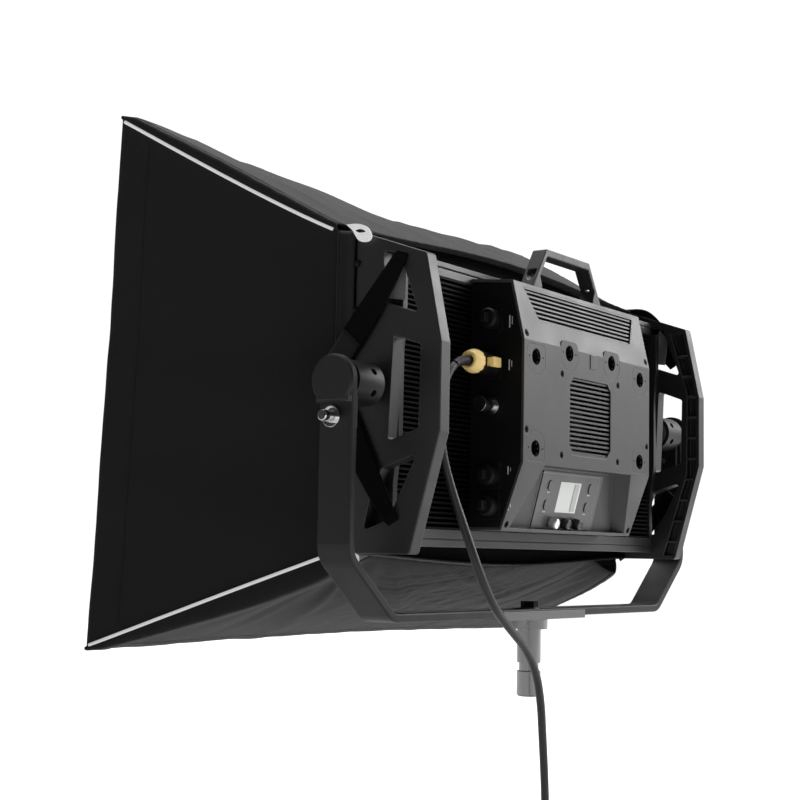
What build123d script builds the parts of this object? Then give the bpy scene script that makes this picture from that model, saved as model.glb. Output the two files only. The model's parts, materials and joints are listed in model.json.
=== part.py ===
from build123d import *
import os
from math import pi, radians, tan

# A two-by-one LED panel light in its yoke, with a fabric softbox on its front and its power lead.
# Millimetres. +Z is up, light leaves along -Y, and the connectors are on the +X side.
# The origin is the shoulder of the yoke's spigot, where it rests on a lighting stand.

# ---------------------------------------------------------------- driving sizes
HEAD_HALF = 325.0            # half the width over the side frames
FRAME_THICK = 17.0           # side frame thickness along X
FRAME_INNER = HEAD_HALF - FRAME_THICK
FRONT_Y = -28.5              # front edge of the side frames
PIVOT_Z = 261.0              # tilt axis height; the axis is the line y = 0, z = PIVOT_Z
SHAFT_R = 8.0
RUNNING = 0.05               # radial running clearance of every turning fit

YOKE_HALF = 392.5            # half the width over the yoke arms
BAR_THICK = 9.5              # yoke flat bar
BAR_WIDE = 41.5
BAR_LOW = 15.0               # underside of the yoke's cross bar
BEND_Z = 81.0                # where each arm starts its slanted stretch
BEND_X = 312.0               # where the slanted stretch meets the cross bar
BEND_R = 30.0
BOSS_R = 23.0                # pivot housing on the inside of each arm
CAP_R = 26.5                 # cover on the outside of each arm
CAP_OUT = 401.0
CAP_SKIRT = 23.0             # the cover's flat foot, this far below the tilt axis
PIN_Y = -4.0                 # sprung pin that keeps each arm in its pivot housing
PIN_Z = 224.0
PIN_R = 3.5
PIN_KNOB_R = 5.8
SPIGOT_R = 14.3              # 28.6 mm lighting-stand spigot
SPIGOT_LONG = 80.0
SPIGOT_HEX = 10.4            # corner radius of the bolt's head
BOLT_R = 6.0

RAIL_LOW = (95.0, 114.0)     # bottom rail, low and high
RAIL_HIGH = (394.0, 410.0)   # top rail, low and high
RAIL_REAR_Y = 11.0
FIN_REAR_Y = 11.0            # heat sink fin tips, where the rear housing starts
FIN_PITCH = 5.5
FIN_THICK = 2.0

COVER_HALF = 156.6           # rear housing half width
COVER_WALL = 3.0
COVER_TOP = (65.8, 395.0)    # the housing's folds, as (y, z) from the top down
COVER_HIGH = (81.4, 327.7)
COVER_MID = (81.4, 189.8)
COVER_LOW = (53.5, 114.5)
COVER_ROOF_Z = 400.4         # where the roof meets the fin tips
HANDLE_Y = (30.5, 50.0)

PANEL_LOW = (42.0, 116.0)    # two points of the control panel's plane, as (y, z)
PANEL_HIGH = (62.0, 190.0)
CONTROL_U = 3.0              # the controls sit this far to the panel's left, seen from behind
KNOB_V = 11.5
KNOB_PITCH = 28.0
BUTTON_U = 49.2
BUTTON_V = (32.0, 55.5)

FAN_Z = 251.0
FAN_Y = (40.0, 65.0)

CONNECTOR_Y = 40.0           # line of the side connectors
POWER_Z = 300.0
DATA_Z = (352.0, 176.0, 142.0)
ROUND_Z = 254.0
PLUG_END = 191.0             # where the lead enters the mains plug on the side
COLLAR_END = 208.0
LATCH_X = (168.0, 184.0)

BOX_REAR_Y = -52.0           # softbox: front edge of its collar
BOX_REAR = (327.0, 84.0, 432.0)      # half width, low z, high z at the collar
BOX_MOUTH = 430.0            # half width of the mouth
MOUTH_TOP = (-279.0, 564.7)  # the mouth's top and bottom edges, as (y, z)
MOUTH_LOW = (-305.0, -25.5)
CLOTH = 2.5                  # fabric panels are drawn this thick

CORD_R = 4.75
SPLIT_R = 180.0              # the lead parts on this radius about the tilt axis, outside the head
SPLIT_GAP = 0.3
COIL_R = 50.5                # the put-away turns, at the middle of their bundle
COIL_BUNDLE_R = 15.5
PLUG_X = 27.0                # mains plug under the coil
PLUG_Y = 54.0
PLUG_TOP = -340.0

SIDES = (("right", 1), ("left", -1))     # right is the connector side, +X
pieces = {}


# ---------------------------------------------------------------- helpers
def outline(points):
    """A closed outline, always wound anticlockwise, so that a positive extrusion goes up."""
    after = points[1:] + points[:1]
    area = sum(x1 * y2 - x2 * y1 for (x1, y1), (x2, y2) in zip(points, after))
    return Polygon(*(points if area > 0 else points[::-1]), align=None)


def prism(points, low, high, rounding=0, plane=Plane.YZ):
    """Extrude a closed outline, given in the plane's own coordinates, from low to high."""
    face = outline(points)
    if rounding:
        face = fillet(face.vertices(), rounding)
    return extrude(plane.offset(low) * face, high - low)


def box(x, y, z):
    """A box from three (low, high) pairs."""
    size = [high - low for low, high in (x, y, z)]
    middle = [(high + low) / 2 for low, high in (x, y, z)]
    return Pos(*middle) * Box(*size)


def rod_x(radius, low, high, y=0.0, z=PIVOT_Z):
    """A cylinder along X."""
    return Pos((low + high) / 2, y, z) * Rot(0, 90, 0) * Cylinder(radius, high - low)


def slope(low, high):
    """A plane seen from behind: x to the right (towards -X), y up the face, z out of it."""
    up = Vector(0, high[0] - low[0], high[1] - low[1]).normalized()
    right = Vector(-1, 0, 0)
    return Plane(origin=(0, low[0], low[1]), x_dir=right, z_dir=right.cross(up))


def on_face(plane, u, v, solid):
    """Place a solid, drawn about the origin with +Z outwards, on a sloped face."""
    return plane.location * Pos(u, v, 0) * solid


def both_sides(right_solid):
    return [right_solid, mirror(right_solid, Plane.YZ)]


HIGH_FACE = slope(COVER_HIGH, COVER_TOP)
MID_FACE = slope((COVER_MID[0], 0.0), (COVER_MID[0], 100.0))
LOW_FACE = slope(COVER_LOW, COVER_MID)
PANEL_FACE = slope(PANEL_LOW, PANEL_HIGH)


# ---------------------------------------------------------------- yoke
def make_yoke():
    top = PIVOT_Z + BAR_WIDE / 2
    outer = Polygon((-YOKE_HALF, top), (-YOKE_HALF, BEND_Z), (-BEND_X, BAR_LOW), (BEND_X, BAR_LOW),
                    (YOKE_HALF, BEND_Z), (YOKE_HALF, top), align=None)
    outer = fillet(outer.vertices().filter_by(lambda v: v.Y < top - 1), BEND_R)
    inner = offset(outer, -BAR_THICK)
    arm_inner = YOKE_HALF - BAR_THICK
    inner += Pos(0, top) * Rectangle(2 * arm_inner, 60)
    half = BAR_WIDE / 2
    bar = extrude(Plane.XZ.offset(-half) * (outer - inner), BAR_WIDE)
    side_outline = Pos(0, PIVOT_Z) * Circle(half)
    side_outline += Pos(0, PIVOT_Z / 2) * Rectangle(BAR_WIDE, PIVOT_Z)
    bar = bar & extrude(Plane.YZ.offset(-YOKE_HALF) * side_outline, 2 * YOKE_HALF)
    long_edges = [e for e in bar.edges() if abs(abs(e.center().Y) - half) < 0.01
                  and e.center().Z < PIVOT_Z]
    bar = fillet(long_edges, 2.0)
    bar_top = BAR_LOW + BAR_THICK
    bar -= Pos(0, 0, BAR_LOW) * extrude(SlotOverall(256, 13), 2 * BAR_THICK)
    bar -= Pos(0, 0, bar_top - 1.2) * extrude(SlotOverall(544, 24), 5)
    for _, s in SIDES:
        bar -= rod_x(SHAFT_R + RUNNING, s * YOKE_HALF - 15, s * YOKE_HALF + 15)
        bar -= rod_x(PIN_R + RUNNING, s * YOKE_HALF - 15, s * YOKE_HALF + 15, PIN_Y, PIN_Z)
    pieces["yoke_frame"] = bar


def make_yoke_fittings():
    arm_inner = YOKE_HALF - BAR_THICK
    boss = rod_x(BOSS_R, 340, arm_inner)
    boss += box((arm_inner - 6, arm_inner), (-16, 16), (PIVOT_Z - 48, PIVOT_Z))
    boss -= rod_x(SHAFT_R + RUNNING, 330, 400)
    boss -= rod_x(PIN_R + RUNNING, 370, 400, PIN_Y, PIN_Z)
    for turn in (-30, 30):
        hole = Pos(355, 0, PIVOT_Z) * Rot(turn, 0, 0) * Pos(0, BOSS_R, 0) * Rot(90, 0, 0)
        boss -= hole * Cylinder(4.2, 12)
    pieces["yoke_bosses"] = both_sides(boss)

    face = Circle(CAP_R) & Pos(0, CAP_R - CAP_SKIRT) * Rectangle(2 * CAP_R, 2 * CAP_R)
    face += Pos(0, -CAP_SKIRT / 2) * Rectangle(BAR_WIDE - 1, CAP_SKIRT)
    face = Pos(0, PIVOT_Z) * face
    cap = extrude(Plane.YZ.offset(YOKE_HALF) * face, CAP_OUT - YOKE_HALF)
    cap = chamfer(cap.faces().sort_by(Axis.X)[-1].edges(), 2.2)
    cap -= rod_x(SHAFT_R + RUNNING, 390, 396.5)
    pieces["pivot_caps"] = both_sides(cap)
    pieces["friction_discs"] = both_sides(rod_x(18, 339, 340) - rod_x(SHAFT_R + RUNNING, 338, 341))

    ring = rod_x(11.3, YOKE_HALF, YOKE_HALF + 3.5, PIN_Y, PIN_Z)
    ring -= rod_x(9.6, YOKE_HALF + 1.2, YOKE_HALF + 4, PIN_Y, PIN_Z)
    ring += rod_x(6.2, YOKE_HALF + 1, YOKE_HALF + 7, PIN_Y, PIN_Z)
    ring -= rod_x(PIN_R + RUNNING, YOKE_HALF - 1, YOKE_HALF + 9, PIN_Y, PIN_Z)
    pieces["pin_bushings"] = both_sides(ring)
    pin = rod_x(PIN_R, arm_inner - 5, YOKE_HALF + 10, PIN_Y, PIN_Z)
    knob = rod_x(PIN_KNOB_R, YOKE_HALF + 7.3, YOKE_HALF + 18, PIN_Y, PIN_Z)
    pin += chamfer(knob.edges(), 0.8)
    for name, solid in zip(("right", "left"), both_sides(pin)):
        pieces["pull_pin_" + name] = solid

    half, gap = BAR_WIDE / 2 + 3, BAR_WIDE / 2 + 0.05
    plate = box((-97, 97), (-half, half), (12, BAR_LOW))
    plate += box((-97, 97), (gap, half), (BAR_LOW, 22)) + box((-97, 97), (-half, -gap), (BAR_LOW, 22))
    plate -= Pos(0, 0, 13) * Cylinder(BOLT_R + 0.2, 10)
    pieces["spigot_plate"] = plate

    spigot = Pos(0, 0, 6) * Cylinder(22, 12)
    spigot += Pos(0, 0, -SPIGOT_LONG / 2) * Cylinder(SPIGOT_R, SPIGOT_LONG)
    spigot = chamfer(spigot.faces().sort_by(Axis.Z)[0].edges(), 2)
    groove = Pos(0, 0, -45) * (Cylinder(SPIGOT_R + 1, 10) - Cylinder(SPIGOT_R - 2.5, 10))
    spigot -= groove
    spigot -= Pos(0, 0, 2) * Cylinder(BOLT_R, 20.2)
    pieces["spigot"] = spigot
    bar_top = BAR_LOW + BAR_THICK - 1.2
    pieces["spigot_washer"] = Pos(0, 0, bar_top + 1) * (Cylinder(11.5, 2) - Cylinder(BOLT_R + 0.2, 2))
    bolt = Pos(0, 0, bar_top + 2) * extrude(RegularPolygon(SPIGOT_HEX, 6), 7.5)
    bolt += Pos(0, 0, (bar_top + 2 - 8) / 2) * Cylinder(BOLT_R, bar_top + 10)
    pieces["spigot_bolt"] = bolt


# ---------------------------------------------------------------- side frames
FRAME_OUTLINE = [(FRONT_Y, 430), (62, 398.5), (82, 304.6), (82, 211.4), (47, 86), (FRONT_Y, 86)]
FRAME_WINDOWS = [
    [(8, 405), (28.5, 400), (54, 335), (9, 350)],
    [(22.5, 315), (57, 302), (55.5, 215.5), (17.5, 203)],
    [(10.5, 175), (54.5, 189.5), (19.5, 121), (-12, 110.5), (-3, 149)],
]


def make_side_frame(s):
    frame = prism(FRAME_OUTLINE, FRAME_INNER, HEAD_HALF, 5)
    frame = fillet(frame.faces().sort_by(Axis.X)[-1].edges(), 1.5)
    for window in FRAME_WINDOWS:
        frame -= prism(window, FRAME_INNER - 1, HEAD_HALF + 1, 3)
    # The rear rim is a channel on the inside, crossed by thin ribs.
    rim = [(58.5, 394), (78, 304), (78, 212), (44, 91), (30, 91), (64, 200), (65, 310), (40, 394)]
    channel = prism(rim, FRAME_INNER - 1, FRAME_INNER + 11)
    for window in FRAME_WINDOWS:
        grown = offset(outline(window), 3)
        channel -= extrude(Plane.YZ.offset(FRAME_INNER - 2) * grown, 30)
    for z in range(110, 390, 28):
        channel -= box((300, 330), (20, 90), (z - 1, z + 1))
    frame -= channel
    frame -= rod_x(SHAFT_R, 300, 330)
    return frame if s > 0 else mirror(frame, Plane.YZ)


def make_hubs():
    hub = rod_x(14, HEAD_HALF, 339) - rod_x(SHAFT_R, 320, 345)
    pieces["tilt_hubs"] = both_sides(hub)
    pieces["pivot_shafts"] = both_sides(rod_x(SHAFT_R, FRAME_INNER, 396))


# ---------------------------------------------------------------- lamp chassis
def make_chassis():
    top = box((-FRAME_INNER, FRAME_INNER), (FRONT_Y, RAIL_REAR_Y), RAIL_HIGH)
    top -= box((-310, 310), (RAIL_REAR_Y - 3, 20), (402.5, 404.5))
    pieces["top_rail"] = top
    low = box((-FRAME_INNER, FRAME_INNER), (FRONT_Y, RAIL_REAR_Y), RAIL_LOW)
    low -= box((-310, 310), (RAIL_REAR_Y - 3, 20), (102.8, 104.3))
    pieces["bottom_rail"] = low

    half = 299.5
    fins = int((RAIL_HIGH[0] - RAIL_LOW[1] - 2) / FIN_PITCH)
    low_z, high_z = RAIL_LOW[1] + 0.5, RAIL_HIGH[0] - 0.5
    step = (high_z - low_z - FIN_THICK) / fins
    comb = [(-26, low_z), (-26, high_z), (-14, high_z)]
    for i in range(fins, -1, -1):
        fin_low = low_z + i * step
        if i < fins:
            comb.append((-14, fin_low + FIN_THICK))
        comb += [(FIN_REAR_Y, fin_low + FIN_THICK), (FIN_REAR_Y, fin_low)]
        if i > 0:
            comb.append((-14, fin_low))
    pieces["heat_sink"] = prism(comb + [(-14, low_z)], -half, half)
    plate = [(-26, 114.5), (-26, 393.5), (22, 393.5), (22, 340), (19, 300), (19, 210), (13, 160), (13, 114.5)]
    pieces["end_plates"] = both_sides(prism(plate, half + 0.5, FRAME_INNER))

    boards = []
    for s in (-1, 1):
        board = Pos(s * 145, -27.5, 254) * Box(282, 3, 262)
        grid = GridLocations(22, 22, 12, 11)
        board += Plane(origin=(s * 145, -29, 254), z_dir=(0, -1, 0)).location * grid * \
            extrude(Rectangle(5, 5), 1.5)
        boards.append(board)
    pieces["led_boards"] = boards
    bezel = box((-319.5, 319.5), (-54, FRONT_Y), (95, 421)) - box((-292, 292), (-60, -20), (120, 388))
    bezel -= box((-298, 298), (-48, -45), (114, 394))
    pieces["front_bezel"] = bezel
    pieces["front_lens"] = box((-298, 298), (-48, -45), (114, 394))


# ---------------------------------------------------------------- rear housing
def housing_outline(inset):
    """The housing's side profile, moved in by inset on every closed side."""
    profile = outline([(FIN_REAR_Y, COVER_ROOF_Z), COVER_TOP, COVER_HIGH, COVER_MID, COVER_LOW,
                       (FIN_REAR_Y, COVER_LOW[1])])
    if not inset:
        return profile
    smaller = offset(profile, -inset, kind=Kind.INTERSECTION)
    bounds = smaller.bounding_box()
    middle = (bounds.min.Y + bounds.max.Y) / 2
    tall = bounds.max.Y - bounds.min.Y
    smaller += Pos(FIN_REAR_Y, middle) * Rectangle(12, tall - 1)
    return smaller


def recess(grow):
    """The space behind the control panel's opening, grown by a wall thickness."""
    floor_v = (2.0 - grow, 75.5 + grow)
    skin_v = (3.2 - grow, 80.0 + grow)
    floor = Polygon((-128 - grow, floor_v[0]), (128 + grow, floor_v[0]), (97 + grow, floor_v[1]),
                    (-97 - grow, floor_v[1]), align=None)
    skin = Polygon((-142 - grow, skin_v[0]), (142 + grow, skin_v[0]), (107.5 + grow, skin_v[1]),
                   (-107.5 - grow, skin_v[1]), align=None)
    return loft([PANEL_FACE.offset(-1.5 - grow) * floor, LOW_FACE.offset(0.6) * skin])


LOUVRE = [(-138, 64), (138, 64), (115, 25), (-115, 25)]
GRILLE = [(-43, 297.5), (43, 297.5), (53, 287.5), (53, 214.5), (43, 204.5), (-43, 204.5),
          (-53, 214.5), (-53, 287.5)]
SOCKETS = [(130, 310, 1), (53, 322.5, 1), (-53, 322.5, 1), (-130, 310, 1), (130, 206.8, -1),
           (-130, 206.8, -1)]
SOCKET_R = 9.4
FACE_SCREWS = [(u, z) for u in (-70, 70) for z in (203, 297)] + [(-150, 226.8), (150, 226.8)]


def socket_outline(flat_side, shrink=0.0):
    """Round at one end and squared off at the other: flat_side 1 has its flat on top."""
    radius, flat = 20.8 - shrink, 14.5 - shrink
    square = RectangleRounded(2 * radius, 2 * flat, 8 - shrink)
    lower = Pos(0, -flat_side * radius) * Rectangle(2 * radius + 2, 2 * radius)
    return square + (Circle(radius) & lower)


def make_housing():
    body = extrude(Plane.YZ.offset(-COVER_HALF) * housing_outline(0), 2 * COVER_HALF)
    hollow = extrude(Plane.YZ.offset(-COVER_HALF - 1) * housing_outline(COVER_WALL), 2 * COVER_HALF + 2)
    body -= recess(0)
    body -= hollow - recess(COVER_WALL)
    body -= HIGH_FACE.location * extrude(outline(LOUVRE), 10, both=True)
    body -= MID_FACE.location * extrude(outline(GRILLE), 10, both=True)
    screws = []
    spots = [(MID_FACE, u, v) for u, v in FACE_SCREWS]
    spots += [(HIGH_FACE, u, 7.5) for u in (-149, 149)] + [(LOW_FACE, u, 7.3) for u in (-149, 149)]
    for plane, u, v in spots:
        body -= on_face(plane, u, v, Pos(0, 0, -1) * Cylinder(4.2, 2.6))
        body -= on_face(plane, u, v, Cylinder(2.05, 20))
        head = Pos(0, 0, -2.25 + 0.8) * Cylinder(3.7, 1.6) + Pos(0, 0, -6) * Cylinder(2.0, 9)
        head -= Pos(0, 0, -0.5) * extrude(RegularPolygon(2.0, 6), -1.4)
        screws.append(on_face(plane, u, v, head))
    inserts = []
    for u, z, flat_side in SOCKETS:
        pocket = extrude(socket_outline(flat_side), -1.2)
        body -= on_face(MID_FACE, u, z, pocket)
        body -= on_face(MID_FACE, u, z, Cylinder(SOCKET_R + 2.8, 40))
        insert = extrude(socket_outline(flat_side, 0.35), -1.2)
        insert += Pos(0, 0, -7) * Cylinder(SOCKET_R + 2.5, 14)
        insert -= Pos(0, 0, -1) * Cylinder(SOCKET_R, 22)
        for turn in range(0, 360, 45):
            insert += Rot(0, 0, turn) * Pos(SOCKET_R - 0.6, 0, -8) * Box(2.4, 2.6, 12)
        for side in (-1, 1):
            insert -= Pos(side * 15.2, 0, 0) * Cylinder(1.2, 1.6)
        inserts.append(on_face(MID_FACE, u, z, insert))
    body += on_face(MID_FACE, 5, 318.5, Pos(0, 0, 0.4) * Box(14, 17, 0.8))
    for u in (-1, 0, 1):
        hole = Pos(0, 0, -3) * Cylinder(3.0 + RUNNING, 14)
        body -= on_face(PANEL_FACE, -CONTROL_U + u * KNOB_PITCH, KNOB_V, hole)
    for u in (-1, 1):
        for v in BUTTON_V:
            hole = extrude(SlotOverall(12, 7.8, rotation=90), -8)
            body -= on_face(PANEL_FACE, -CONTROL_U + u * BUTTON_U, v, hole)
    pieces["rear_cover"] = body
    pieces["cover_screws"] = screws
    pieces["mounting_sockets"] = inserts
    pieces["louvre_grille"] = grille(HIGH_FACE, LOUVRE, 7, 60, 28)
    pieces["centre_grille"] = grille(MID_FACE, GRILLE, 17, 294, 208)


def grille(plane, opening, slats, high, low):
    """A rim that lines the opening, crossed by level slats."""
    whole = outline(opening)
    outer = offset(whole, -0.05)
    rim = extrude(outer, -12) - extrude(offset(whole, -2.0), -20)
    field = extrude(offset(whole, -1.5), -9.5) - extrude(Rectangle(900, 900), -1.6)
    pitch = (high - low) / (slats - 1)
    for i in range(slats):
        bar = Pos(0, low + i * pitch, -5.5) * Box(400, 2.3, 9)
        rim += bar & field
    return plane.location * rim


def make_side_covers():
    for name, s in SIDES:
        plate = housing_outline(COVER_WALL + 0.1)
        cover = extrude(Plane.YZ.offset(COVER_HALF - 3.5) * plate, 3)
        cover &= box((0, 200), (FIN_REAR_Y + 0.1, 200), (0, 500))
        cover -= recess(COVER_WALL + 0.2)
        if s > 0:
            cover -= rod_x(12.05, 100, 200, CONNECTOR_Y, POWER_Z)
            for z in DATA_Z:
                cover -= rod_x(9.55, 100, 200, CONNECTOR_Y, z)
            cover -= rod_x(7.05, 100, 200, CONNECTOR_Y, ROUND_Z)
        else:
            cover = mirror(cover, Plane.YZ)
        pieces["side_cover_" + name] = cover


# ---------------------------------------------------------------- control panel
def make_controls():
    plate = Pos(0, 37.85, -0.75) * Box(146, 68.3, 1.5)
    screen_u, screen_v = -2.3, 42.2
    plate -= Pos(screen_u, screen_v, 0) * Box(50, 37.4, 1.6)
    for u in (-1, 0, 1):
        plate -= Pos(-CONTROL_U + u * KNOB_PITCH, KNOB_V, 0) * Cylinder(3.0 + RUNNING, 4)
    button = extrude(SlotOverall(11, 7, rotation=90), 3.7)
    for u, side in ((-1, "left"), (1, "right")):
        for v, level in zip(BUTTON_V, ("lower", "upper")):
            plate -= Pos(-CONTROL_U + u * BUTTON_U, v, -2) * extrude(SlotOverall(12, 7.8, rotation=90), 4)
            placed = on_face(PANEL_FACE, -CONTROL_U + u * BUTTON_U, v, Pos(0, 0, -2.5) * button)
            pieces["button_" + level + "_" + side] = placed
    pieces["control_panel"] = on_face(PANEL_FACE, 0, 0, plate)
    window = Pos(screen_u, screen_v, -0.3) * Box(49.6, 37, 0.9)
    pieces["display_window"] = on_face(PANEL_FACE, 0, 0, window)
    knob = Pos(0, 0, 5.6) * Cylinder(6.5, 10)
    knob = chamfer(knob.faces().sort_by(Axis.Z)[-1].edges(), 1) + Pos(0, 0, -3) * Cylinder(3.0, 9)
    for u, name in ((-1, "select"), (0, "dimmer"), (1, "colour")):
        pieces[name + "_knob"] = on_face(PANEL_FACE, -CONTROL_U + u * KNOB_PITCH, KNOB_V, knob)


# ---------------------------------------------------------------- inside the housing
def make_inside():
    frame = box((-40, 40), FAN_Y, (FAN_Z - 40, FAN_Z + 40))
    along = Plane(origin=(0, FAN_Y[0], FAN_Z), x_dir=(1, 0, 0), z_dir=(0, 1, 0)).location
    frame -= along * Pos(0, 0, 13) * Cylinder(37.5, 30)
    motor = Pos(0, 0, 2) * Cylinder(15, 4)
    for i in range(3):
        motor += Rot(0, 0, 120 * i) * Pos(26, 0, 1.5) * Box(26, 4, 3)
    motor += Pos(0, 0, 12) * Cylinder(2.5, 24)
    frame += along * motor
    pieces["fan_frame"] = frame
    rotor = Pos(0, 0, 14) * Cylinder(16, 18) - Pos(0, 0, 14) * Cylinder(2.5 + RUNNING, 20)
    for i in range(7):
        blade = Rot(0, 0, 360 / 7 * i) * Pos(25.5, 0, 14) * Rot(38, 0, 0) * Box(21, 20, 1.6)
        rotor += blade & (Pos(0, 0, 14) * (Cylinder(36.5, 16) - Cylinder(15, 16)))
    pieces["fan_rotor"] = along * rotor
    pieces["power_supply"] = box((46, 134), (13, 55), (196, 384))
    pieces["control_board"] = box((-146, -46), (20, 22), (196, 384)) + box((-130, -100), (22, 40), (230, 270))


# ---------------------------------------------------------------- handle
def make_handle():
    frame = [(-86, 397.5), (-53, 449.3), (53, 449.3), (86, 397.5)]
    opening = [(-63, 390), (-63, 404), (-67.5, 415), (-51, 440.3), (51, 440.3), (67.5, 415), (63, 404), (63, 390)]
    handle = prism(frame, -HANDLE_Y[1], -HANDLE_Y[0], 2.5, Plane.XZ)
    handle -= prism(opening, -HANDLE_Y[1] - 1, -HANDLE_Y[0] + 1, 2, Plane.XZ)
    handle = fillet(handle.edges().group_by(Axis.Y)[0] + handle.edges().group_by(Axis.Y)[-1], 1.2)
    roof = extrude(Plane.YZ.offset(-200) * housing_outline(0), 400)
    handle -= roof
    for s in (-1, 1):
        bore = Pos(s * 70.5, 40.5, 421.5) * Rot(0, s * 32.5, 0)
        handle -= bore * Pos(s * 6, 0, 0) * Rot(0, 90, 0) * Cylinder(6.3, 17)
    pieces["carry_handle"] = handle


# ---------------------------------------------------------------- connectors and plug
def make_connectors():
    skin = COVER_HALF - 0.5
    flange = box((skin, skin + 2), (CONNECTOR_Y - 13, CONNECTOR_Y + 13), (POWER_Z - 16, POWER_Z + 16))
    flange = fillet(flange.edges().filter_by(Axis.X), 3)
    inlet = flange + rod_x(12, 140, skin + 4, CONNECTOR_Y, POWER_Z)
    pieces["power_inlet"] = inlet
    data, caps = [], []
    for z in DATA_Z:
        plate = box((skin, skin + 2), (CONNECTOR_Y - 13, CONNECTOR_Y + 13), (z - 15.5, z + 15.5))
        plate = fillet(plate.edges().filter_by(Axis.X), 3)
        data.append(plate + rod_x(9.5, 138, skin + 8, CONNECTOR_Y, z))
        cap = rod_x(11.5, skin + 2.2, skin + 15, CONNECTOR_Y, z)
        cap = fillet(cap.faces().sort_by(Axis.X)[-1].edges(), 3)
        cap -= rod_x(9.6, skin, skin + 8.2, CONNECTOR_Y, z)
        caps.append(cap + box((skin + 13, skin + 24), (CONNECTOR_Y - 3, CONNECTOR_Y + 3), (z - 5, z + 5)))
    pieces["data_connectors"] = data
    pieces["dust_caps"] = caps
    barrel = rod_x(10, skin, skin + 3, CONNECTOR_Y, ROUND_Z) + rod_x(7, 140, skin + 25, CONNECTOR_Y, ROUND_Z)
    barrel += rod_x(9, skin + 22, skin + 28, CONNECTOR_Y, ROUND_Z)
    pieces["round_connector"] = barrel

    start = skin + 4
    plug = rod_x(12.6, start, PLUG_END - 3, CONNECTOR_Y, POWER_Z)
    plug = chamfer(plug.faces().sort_by(Axis.X)[-1].edges(), 1.5)
    plug += rod_x(5.8, start, PLUG_END, CONNECTOR_Y, POWER_Z)
    plug += box((start, PLUG_END - 4), (CONNECTOR_Y + 8, CONNECTOR_Y + 15.2), (POWER_Z - 7, POWER_Z + 7))
    slot = (POWER_Z - 5.5, POWER_Z + 5.5)
    plug -= box((LATCH_X[0], PLUG_END), (CONNECTOR_Y + 10, CONNECTOR_Y + 20), slot)
    pieces["power_plug"] = plug
    latch = box(LATCH_X, (CONNECTOR_Y + 10.1, CONNECTOR_Y + 18.5), (POWER_Z - 5.4, POWER_Z + 5.4))
    latch = fillet(latch.edges().filter_by(Axis.Y), 1.2)
    pieces["plug_latch"] = latch
    collar = rod_x(13.5, PLUG_END, COLLAR_END, CONNECTOR_Y, POWER_Z)
    collar = fillet(collar.edges(), 2)
    pieces["plug_collar"] = collar - rod_x(6.2, 180, 230, CONNECTOR_Y, POWER_Z)


# ---------------------------------------------------------------- power lead
# The route hangs from the plug, passes behind the cross bar and drops beside the stand.
ROUTE = [
    (PLUG_END, CONNECTOR_Y, POWER_Z),
    (221, 40, 300),
    (246, 40.5, 285.5),
    (260, 41, 260),
    (265, 42, 228),
    (262, 44, 192),
    (252, 51, 152),
    (244, 63, 112),
    (238, 76, 71),
    (216, 81, 33),
    (174, 76, 9),
    (125, 68, -14),
    (88, 61, -43),
    (66, 55, -79),
    (53, 50, -118),
    (43, 47, -158),
    (36, 45, -200),
    (33, 44, -243),
    (32, 45, -288),
]


def make_lead():
    points = [Vector(*p) for p in ROUTE]
    radii = []
    for before, here, after in zip(points, points[1:], points[2:]):
        turn = (here - before).get_angle(after - here)
        shorter = min((here - before).length, (after - here).length)
        radii.append(0.45 * shorter / tan(radians(turn) / 2))
    print("lead arc radii", [round(r) for r in radii])
    path = FilletPolyline(*points, radius=radii)
    section = Plane(origin=path @ 0, z_dir=path % 0) * Circle(CORD_R)
    tube = sweep(section, path=path)
    print("lead length", round(path.length), "volume ratio", tube.volume / (pi * CORD_R ** 2 * path.length))
    around = rod_x(SPLIT_R, 100, 300)
    pieces["lead_upper_run"] = tube & around
    end = points[-1]
    centre = end - Vector(COIL_R + 2 * CORD_R, 0, 0)     # the run joins the outermost turn
    coil = Pos(centre.X, centre.Y, centre.Z) * Rot(90, 0, 0) * Torus(COIL_R, COIL_BUNDLE_R)
    tail = Pos(PLUG_X, PLUG_Y, (end.Z + PLUG_TOP) / 2) * Cylinder(CORD_R, end.Z - PLUG_TOP)
    pieces["lead_hanging_run"] = [tube - rod_x(SPLIT_R + SPLIT_GAP, 0, 400) - coil, tail - coil]
    pieces["lead_coil"] = coil
    body = Pos(0, 0, -25) * Box(26, 20, 40)
    body = fillet(body.edges().filter_by(Axis.Z), 5)
    body += Pos(0, 0, -2.5) * Cylinder(6.5, 5)
    for dx in (-6.35, 6.35):
        body += Pos(dx, 0, -54) * Box(1.5, 6.4, 18)
    body += Pos(0, 5.5, -54) * Cylinder(2.4, 18)
    pieces["mains_plug"] = Pos(PLUG_X, PLUG_Y, PLUG_TOP) * body


# ---------------------------------------------------------------- softbox
def rear_quad(x_low, x_high, z_low, z_high):
    return Plane.XZ.offset(-BOX_REAR_Y) * Polygon((x_low, z_low), (x_high, z_low), (x_high, z_high),
                                                  (x_low, z_high), align=None)


def mouth_plane():
    up = Vector(0, MOUTH_TOP[0] - MOUTH_LOW[0], MOUTH_TOP[1] - MOUTH_LOW[1]).normalized()
    right = Vector(1, 0, 0)
    return Plane(origin=(0, MOUTH_LOW[0], MOUTH_LOW[1]), x_dir=right, z_dir=right.cross(up))


def mouth_quad(x_low, x_high, v_low, v_high):
    return mouth_plane() * Polygon((x_low, v_low), (x_high, v_low), (x_high, v_high), (x_low, v_high),
                                   align=None)


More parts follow.
